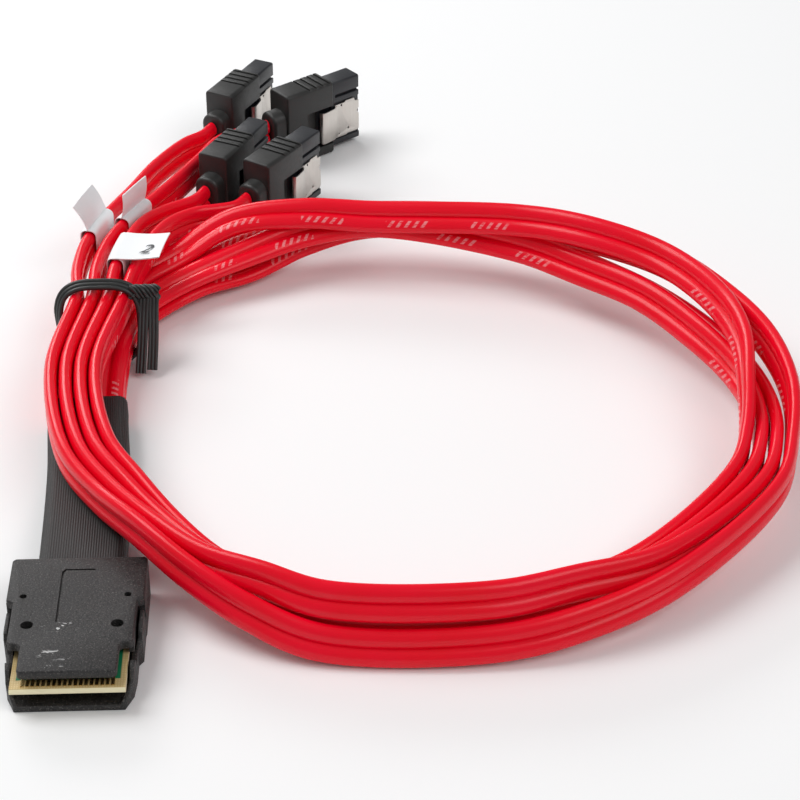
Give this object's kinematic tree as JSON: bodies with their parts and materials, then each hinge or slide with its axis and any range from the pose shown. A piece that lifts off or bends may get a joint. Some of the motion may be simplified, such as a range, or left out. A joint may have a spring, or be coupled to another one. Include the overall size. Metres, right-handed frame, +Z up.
{
  "type": "mini sas breakout cable",
  "caption": "Internal mini SAS plug that breaks out into flat data cables with latching SATA plugs, laid in a loop and tied.",
  "frame": {"origin": "middle of the mini SAS plug's underside, on the surface that the cable lies on", "axes": "+Y runs from the mini SAS plug's mating end to its cable end, +Z is up, +X is to the right seen from the mating end"},
  "size_m": [0.1314, 0.1917, 0.019],
  "materials": {
    "black_shell": "matt, fine grained, with pale specks",
    "circuit_board": "bare cut edge, green solder mask above",
    "gold": "bright plating",
    "steel": "satin",
    "potting": "dull",
    "red_jacket": "glossy",
    "sleeve": "fine lengthwise weave",
    "black_grip": "satin",
    "black_nose": "satin",
    "tie": "ridged",
    "paper": "matt"
  },
  "bodies": {
    "root": {"mini_sas_top_cover": "black_shell", "mini_sas_bottom_tray": "black_shell", "paddle_card": "circuit_board", "card_pads_top": "gold", "card_pads_bottom": "gold", "wire_potting": "potting", "mini_sas_latch_plate": "steel", "cable_1": "red_jacket", "cable_2": "red_jacket", "cable_3": "red_jacket", "cable_4": "red_jacket", "cable_sleeve": "sleeve", "twist_tie": "tie", "sata_1_grip": "black_grip", "sata_1_nose": "black_nose", "sata_1_contacts": "gold", "sata_1_latch": "steel", "sata_2_grip": "black_grip", "sata_2_nose": "black_nose", "sata_2_contacts": "gold", "sata_2_latch": "steel", "sata_3_grip": "black_grip", "sata_3_nose": "black_nose", "sata_3_contacts": "gold", "sata_3_latch": "steel", "sata_4_grip": "black_grip", "sata_4_nose": "black_nose", "sata_4_contacts": "gold", "sata_4_latch": "steel", "label_1": "paper", "label_2": "paper", "label_3": "paper"}
  },
  "joints": []
}
